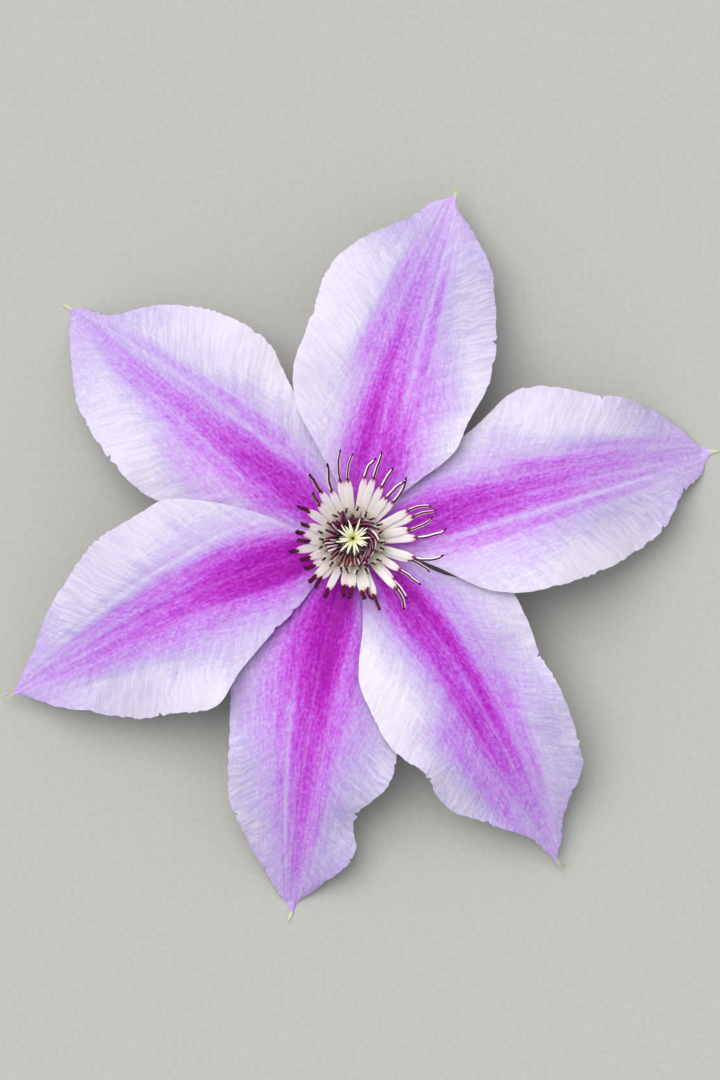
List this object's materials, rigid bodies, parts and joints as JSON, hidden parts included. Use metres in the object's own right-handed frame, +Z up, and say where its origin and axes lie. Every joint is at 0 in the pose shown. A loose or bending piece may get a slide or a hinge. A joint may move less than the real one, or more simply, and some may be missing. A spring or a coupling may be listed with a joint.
{
  "type": "clematis flower",
  "caption": "Large open clematis flower with pointed, wavy striped tepals, a boss of slender stamens, a pale star of styles and a short stalk, laid face up.",
  "frame": {"origin": "the point of the surface it rests on that is under the middle of the footprint; the bloom's axis stands at x = -2 mm, y = 3.1 mm", "axes": "+Z up, along the bloom's axis, towards the viewer of the open face; +Y towards the picture's top and +X towards its right"},
  "size_m": [0.1546, 0.1586, 0.024],
  "materials": {
    "tepal": "satin",
    "filament": "satin",
    "anther": "satin",
    "style": "satin",
    "stalk": "satin"
  },
  "bodies": {
    "root": {"flower_stalk": "stalk", "tepal_1": "tepal", "tepal_2": "tepal", "tepal_3": "tepal", "tepal_4": "tepal", "tepal_5": "tepal", "tepal_6": "tepal", "stamens_spread": "filament", "stamens_erect": "anther", "pistils": "style"}
  },
  "joints": []
}
